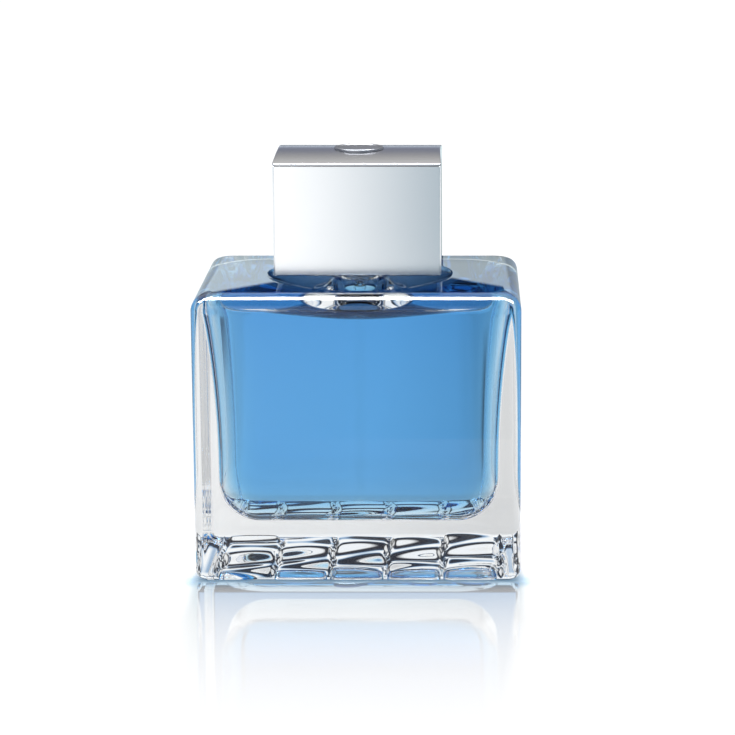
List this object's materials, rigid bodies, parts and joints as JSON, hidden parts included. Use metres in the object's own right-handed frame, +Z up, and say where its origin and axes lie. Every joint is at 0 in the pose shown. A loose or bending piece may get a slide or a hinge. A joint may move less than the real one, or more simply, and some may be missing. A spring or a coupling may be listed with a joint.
{
  "type": "aftershave bottle",
  "caption": "Rectangular thick-walled clear glass aftershave bottle with blue fill, a dimpled base, a crimped spray pump and a square lift-off metal cap with an arched top.",
  "frame": {"origin": "on the standing plane under the middle of the bottle", "axes": "+Z up, +X along the wide front face towards its right, the front face looks towards -Y"},
  "size_m": [0.072, 0.0538, 0.0935],
  "materials": {
    "glass": "clear, glossy",
    "fill": "clear blue liquid",
    "gasket": "soft",
    "pump_plastic": "natural",
    "tube_plastic": "clear",
    "ferrule": "bright",
    "dark_plastic": "matte",
    "collar": "satin",
    "steel": "bright",
    "piston_plastic": "matte",
    "cap_satin": "satin",
    "cap_crown": "polished",
    "cap_medallion": "satin"
  },
  "bodies": {
    "bottle": {"glass_bottle": "glass", "aftershave_fill": "fill", "neck_gasket": "gasket", "pump_housing": "pump_plastic", "dip_tube": "tube_plastic", "closure_cup": "pump_plastic", "crimp_ferrule": "ferrule", "collar_insert": "dark_plastic", "collar_ring": "collar"},
    "inlet_valve": {"inlet_ball": "steel"},
    "plunger": {"pump_stem": "pump_plastic", "return_spring": "steel"},
    "piston": {"piston_seal": "piston_plastic"},
    "spray_head": {"actuator_core": "pump_plastic", "actuator_shell": "collar", "nozzle_insert": "pump_plastic"},
    "cap": {"cap_shell": "cap_satin", "cap_crown": "cap_crown", "cap_medallion": "cap_medallion", "cap_liner": "dark_plastic"}
  },
  "joints": [
    {"name": "cap_lift", "type": "slide", "parent": "bottle", "child": "cap", "axis": [0, 0, 1], "range_m": [0, 0.045]},
    {"name": "pump_press", "type": "slide", "parent": "bottle", "child": "plunger", "axis": [0, 0, -1], "range_m": [0, 0.003], "stiffness_N_per_m": 1600, "springref_m": -0.002, "deforming": ["return_spring"]},
    {"name": "piston_slip", "type": "slide", "parent": "plunger", "child": "piston", "axis": [0, 0, 1], "range_m": [0, 0.0004]},
    {"name": "head_turn", "type": "hinge", "parent": "plunger", "child": "spray_head", "pos_m": [0, 0, 0.08], "axis": [0, 0, 1], "continuous": true},
    {"name": "inlet_ball_lift", "type": "slide", "parent": "bottle", "child": "inlet_valve", "axis": [0, 0, 1], "range_m": [0, 0.0006]}
  ]
}
